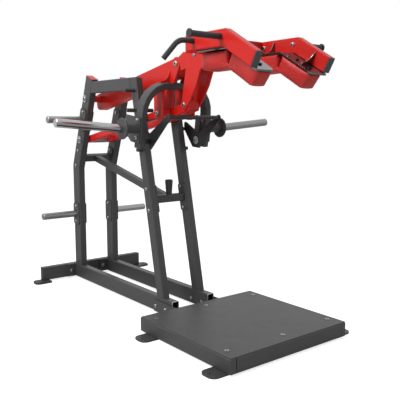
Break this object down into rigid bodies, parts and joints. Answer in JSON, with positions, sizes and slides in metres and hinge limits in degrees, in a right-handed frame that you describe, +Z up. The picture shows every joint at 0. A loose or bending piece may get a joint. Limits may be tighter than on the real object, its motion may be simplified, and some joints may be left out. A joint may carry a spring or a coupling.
{
  "type": "squat machine",
  "caption": "Plate-loaded squat machine: red parallelogram arms carry a yoke with loading sleeves, shoulder pads and hand grips above a steel footplate.",
  "frame": {"origin": "on the floor under the middle of the machine's box", "axes": "+Z up, -Y towards the user's side with the footplate, X across the machine"},
  "size_m": [1.6196, 2.213, 1.672],
  "materials": {
    "charcoal_coat": "satin powder coat",
    "red_coat": "gloss powder coat",
    "chrome": "polished",
    "bare_steel": "satin plated",
    "zinc": "zinc plated",
    "black_rubber": "matt",
    "black_board": "black paint",
    "red_vinyl": "upholstery vinyl"
  },
  "bodies": {
    "frame": {"base_rail_left": "charcoal_coat", "base_rail_right": "charcoal_coat", "rear_crossbar": "charcoal_coat", "deck_sheet": "charcoal_coat", "deck_front_rail": "charcoal_coat", "deck_rear_rail": "charcoal_coat", "deck_side_rail_left": "charcoal_coat", "deck_side_rail_right": "charcoal_coat", "rear_upright_left": "charcoal_coat", "rear_upright_right": "charcoal_coat", "front_upright_left": "charcoal_coat", "front_upright_right": "charcoal_coat", "side_beam_left": "charcoal_coat", "side_beam_right": "charcoal_coat", "rear_upright_cap_left": "red_coat", "rear_upright_cap_right": "red_coat", "rear_crossbeam": "charcoal_coat", "front_crossbeam": "charcoal_coat", "diagonal_brace": "charcoal_coat", "lower_bumper": "black_rubber", "lower_storage_left": "bare_steel", "lower_storage_right": "bare_steel", "upper_storage_left": "bare_steel", "upper_storage_right": "bare_steel", "upper_stop_left": "black_rubber", "upper_stop_right": "black_rubber", "frame_pivot_upper": "zinc", "frame_pivot_lower": "zinc"},
    "upper_arm": {"upper_arm": "red_coat", "upper_arm_sleeve": "red_coat"},
    "lower_arm": {"lower_arm": "red_coat", "lower_arm_sleeve": "bare_steel"},
    "carriage": {"yoke": "charcoal_coat", "carriage_bracket": "red_coat", "link_plate_left": "red_coat", "link_plate_right": "red_coat", "yoke_lug_left": "red_coat", "yoke_lug_right": "red_coat", "carriage_pivot_upper": "zinc", "carriage_pivot_lower": "zinc", "horn_hub_left": "charcoal_coat", "horn_hub_right": "charcoal_coat", "loading_sleeve_left": "chrome", "loading_sleeve_right": "bare_steel", "pad_frame": "red_coat", "pad_carrier": "red_coat", "shoulder_arm_left": "red_coat", "shoulder_arm_right": "red_coat", "pad_board_left": "black_board", "pad_board_right": "black_board", "shoulder_pad_left": "red_vinyl", "shoulder_pad_right": "red_vinyl", "straight_grip_left": "black_rubber", "straight_grip_right": "black_rubber", "bent_grip_left": "black_rubber", "bent_grip_right": "black_rubber"},
    "catch_lever": {"catch_lever": "charcoal_coat"}
  },
  "joints": [
    {"name": "arm_swing", "type": "hinge", "parent": "frame", "child": "upper_arm", "pos_m": [0, 0.823, 1.38], "axis": [1, 0, 0], "range_deg": [-1, 22]},
    {"name": "lower_arm_swing", "type": "hinge", "parent": "frame", "child": "lower_arm", "pos_m": [0, 0.922, 1.081], "axis": [1, 0, 0], "range_deg": [-1, 22]},
    {"name": "carriage_level", "type": "hinge", "parent": "upper_arm", "child": "carriage", "pos_m": [0, -0.15, 1.566], "axis": [1, 0, 0], "range_deg": [-22, 1]},
    {"name": "lever_swing", "type": "hinge", "parent": "carriage", "child": "catch_lever", "pos_m": [0, -0.043, 1.095], "axis": [1, 0, 0], "range_deg": [-2.2, 48.4]}
  ],
  "couplings": [
    {"joint": "lower_arm_swing", "follows": "arm_swing", "ratio": 1},
    {"joint": "carriage_level", "follows": "arm_swing", "ratio": -1},
    {"joint": "lever_swing", "follows": "arm_swing", "ratio": 2.2}
  ]
}
